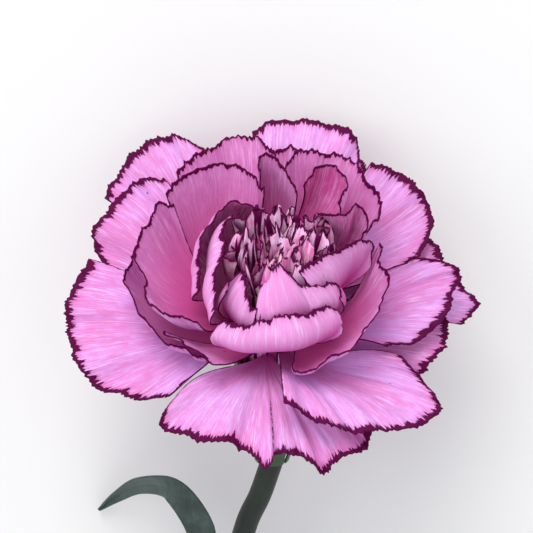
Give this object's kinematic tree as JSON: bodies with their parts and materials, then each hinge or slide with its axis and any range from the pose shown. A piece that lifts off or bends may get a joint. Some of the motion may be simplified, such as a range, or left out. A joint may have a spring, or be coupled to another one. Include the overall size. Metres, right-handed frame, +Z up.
{
  "type": "cut carnation",
  "caption": "Cut carnation lying on its side: full ruffled two-tone bloom in a green calyx, on a jointed stem with paired narrow leaves.",
  "frame": {"origin": "on the supporting surface, under the middle of the flower's bounding box", "axes": "+Z up from the surface; +Y along the stem, from the bloom to the cut end; the bloom faces -Y and up; +X is to the left of someone who looks at the bloom from above with the stem towards them"},
  "size_m": [0.0902, 0.2239, 0.0556],
  "materials": {
    "outer_petal": "matt, finely veined, with a dark serrated margin",
    "middle_petal": "matt, finely veined, with a dark serrated margin",
    "cup_petal": "matt, finely veined, with a dark serrated margin",
    "centre_petal": "matt, pale with dark stripes",
    "calyx": "smooth green tissue with a waxy bloom",
    "inner_tissue": "pale green tissue",
    "stem": "dark green with a waxy bloom",
    "leaf": "blue-green with a waxy bloom"
  },
  "bodies": {
    "root": {"calyx": "calyx", "calyx_scale_1": "calyx", "calyx_scale_2": "calyx", "calyx_scale_3": "calyx", "calyx_scale_4": "calyx", "centre_petal_01": "centre_petal", "centre_petal_02": "centre_petal", "centre_petal_03": "centre_petal", "centre_petal_04": "centre_petal", "centre_petal_05": "centre_petal", "centre_petal_06": "centre_petal", "centre_petal_07": "centre_petal", "centre_petal_08": "centre_petal", "centre_petal_09": "centre_petal", "cup_petal_01": "cup_petal", "cup_petal_02": "cup_petal", "cup_petal_03": "cup_petal", "cup_petal_04": "cup_petal", "cup_petal_05": "cup_petal", "cup_petal_06": "cup_petal", "cup_petal_07": "cup_petal", "cup_petal_08": "cup_petal", "lower_leaf_left": "leaf", "lower_leaf_right": "leaf", "middle_leaf_left": "leaf", "middle_leaf_right": "leaf", "middle_petal_01": "middle_petal", "middle_petal_02": "middle_petal", "middle_petal_03": "middle_petal", "middle_petal_04": "middle_petal", "middle_petal_05": "middle_petal", "middle_petal_06": "middle_petal", "middle_petal_07": "middle_petal", "middle_petal_08": "middle_petal", "middle_petal_09": "middle_petal", "outer_petal_01": "outer_petal", "outer_petal_02": "outer_petal", "outer_petal_03": "outer_petal", "outer_petal_04": "outer_petal", "outer_petal_05": "outer_petal", "outer_petal_06": "outer_petal", "outer_petal_07": "outer_petal", "outer_petal_08": "outer_petal", "outer_petal_09": "outer_petal", "outer_petal_10": "outer_petal", "outer_petal_11": "outer_petal", "outer_petal_12": "outer_petal", "outer_petal_13": "outer_petal", "outer_petal_14": "outer_petal", "ovary": "inner_tissue", "receptacle": "inner_tissue", "stem": "stem", "style_left": "inner_tissue", "style_right": "inner_tissue", "upper_leaf_left": "leaf", "upper_leaf_right": "leaf"}
  },
  "joints": []
}
